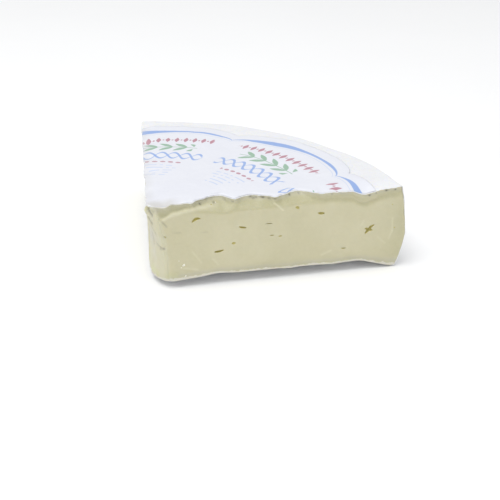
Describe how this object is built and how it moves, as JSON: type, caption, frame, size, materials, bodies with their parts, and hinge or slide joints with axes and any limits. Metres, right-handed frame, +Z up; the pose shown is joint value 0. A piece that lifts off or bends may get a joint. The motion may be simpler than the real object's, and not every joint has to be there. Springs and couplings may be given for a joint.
{
  "type": "camembert wedge",
  "caption": "Hand-cut quarter of a flat round soft cheese with a white bloomy rind, pale ivory paste with small eyes and a printed paper label on top.",
  "frame": {"origin": "bottom centre of the whole's box, on the surface that the cheese rests on", "axes": "+Z up out of the label; the front cut faces -Y and runs along X with the point at -X; the rim faces +X and +Y"},
  "size_m": [0.1074, 0.1076, 0.0382],
  "materials": {
    "paste_and_rind": "pale ivory paste with a faint greenish cast, soft satin sheen; the rind is matte white and velvety",
    "label_paper": null
  },
  "bodies": {
    "root": {"cheese": "paste_and_rind", "label": "label_paper"}
  },
  "joints": []
}
